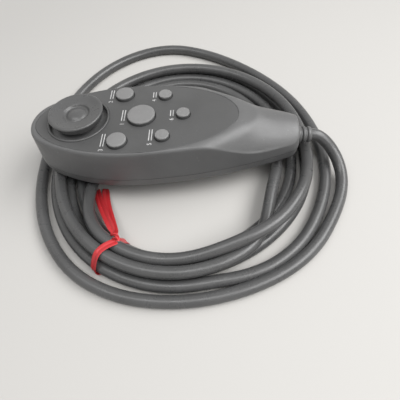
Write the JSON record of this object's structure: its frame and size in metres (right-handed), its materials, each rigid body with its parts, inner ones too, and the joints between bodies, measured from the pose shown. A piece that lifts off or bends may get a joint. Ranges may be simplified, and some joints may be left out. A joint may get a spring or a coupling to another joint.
{
  "type": "pendant hand control",
  "caption": "Hand-held control with a thumb stick and round push keys on a drop-shaped body, lying on its coiled lead with a round plug.",
  "frame": {"origin": "middle of the control's own box, lead and plug left out", "axes": "+X along the control towards the lead's exit, +Z out of the key face"},
  "size_m": [0.1965, 0.2288, 0.0484],
  "materials": {
    "shell": "fine spark-eroded charcoal moulding",
    "panel": "satin dark grey overlay",
    "bezel": "satin black",
    "knob": "soft black with a satin sheen",
    "key": "matte light grey",
    "board": "green lacquer",
    "switch": "black moulding",
    "acetal": "off-white moulding",
    "steel": "zinc plated",
    "cable": "satin black sheath",
    "grip": "black moulding",
    "wire": "coloured insulation",
    "tie": "red coated wire ribbon",
    "plated": "nickel plated",
    "contact": "plated brass"
  },
  "bodies": {
    "housing": {"upper_shell": "shell", "lower_shell": "shell", "face_panel": "panel", "circuit_board": "board", "switch_housings": "switch", "board_screws": "steel", "case_screws": "steel", "strain_relief": "cable", "cable_inner_end": "cable", "cable_clamp": "switch", "clamp_screws": "steel", "board_socket": "acetal", "wire_plug": "acetal", "conductors": "wire", "twist_tie": "tie", "cable_coil": "cable", "cable_lead": "cable", "cable_crossing": "cable", "cable_plug_lead": "cable", "plug_boot": "cable", "plug_grip": "grip", "plug_shell": "plated", "plug_insert": "switch", "plug_contacts": "contact", "stick_bezel": "bezel", "stick_base": "switch", "stick_push_switch": "acetal"},
    "large_key_body": {"large_key": "key", "large_key_plunger": "acetal"},
    "far_front_key_body": {"far_front_key": "key", "far_front_key_plunger": "acetal"},
    "near_front_key_body": {"near_front_key": "key", "near_front_key_plunger": "acetal"},
    "far_rear_key_body": {"far_rear_key": "key", "far_rear_key_plunger": "acetal"},
    "near_rear_key_body": {"near_rear_key": "key", "near_rear_key_plunger": "acetal"},
    "tail_key_body": {"tail_key": "key", "tail_key_plunger": "acetal"},
    "yoke": {"stick_yoke": "switch"},
    "hub": {"stick_hub": "acetal", "stick_spring": "steel"},
    "stick": {"stick_shaft": "steel", "stick_skirt": "bezel", "stick_knob": "knob"}
  },
  "joints": [
    {"name": "large_key_press", "type": "slide", "parent": "housing", "child": "large_key_body", "axis": [0, 0, -1], "range_m": [0, 0.0008], "stiffness_N_per_m": 2500},
    {"name": "far_front_key_press", "type": "slide", "parent": "housing", "child": "far_front_key_body", "axis": [0, 0, -1], "range_m": [0, 0.0008], "stiffness_N_per_m": 2500},
    {"name": "near_front_key_press", "type": "slide", "parent": "housing", "child": "near_front_key_body", "axis": [0, 0, -1], "range_m": [0, 0.0008], "stiffness_N_per_m": 2500},
    {"name": "far_rear_key_press", "type": "slide", "parent": "housing", "child": "far_rear_key_body", "axis": [0, 0, -1], "range_m": [0, 0.0008], "stiffness_N_per_m": 2500},
    {"name": "near_rear_key_press", "type": "slide", "parent": "housing", "child": "near_rear_key_body", "axis": [0, 0, -1], "range_m": [0, 0.0008], "stiffness_N_per_m": 2500},
    {"name": "tail_key_press", "type": "slide", "parent": "housing", "child": "tail_key_body", "axis": [0, 0, -1], "range_m": [0, 0.0008], "stiffness_N_per_m": 2500},
    {"name": "stick_side_tilt", "type": "hinge", "parent": "housing", "child": "yoke", "pos_m": [-0.04875, 0, 0.00005], "axis": [1, 0, 0], "range_deg": [-6, 6], "stiffness_Nm_per_rad": 0.3},
    {"name": "stick_fore_tilt", "type": "hinge", "parent": "yoke", "child": "hub", "pos_m": [-0.04875, 0, 0.00005], "axis": [0, 1, 0], "range_deg": [-6, 6], "stiffness_Nm_per_rad": 0.3},
    {"name": "stick_press", "type": "slide", "parent": "hub", "child": "stick", "axis": [0, 0, -1], "range_m": [0, 0.0005], "stiffness_N_per_m": 6000, "deforming": ["stick_spring"]}
  ]
}
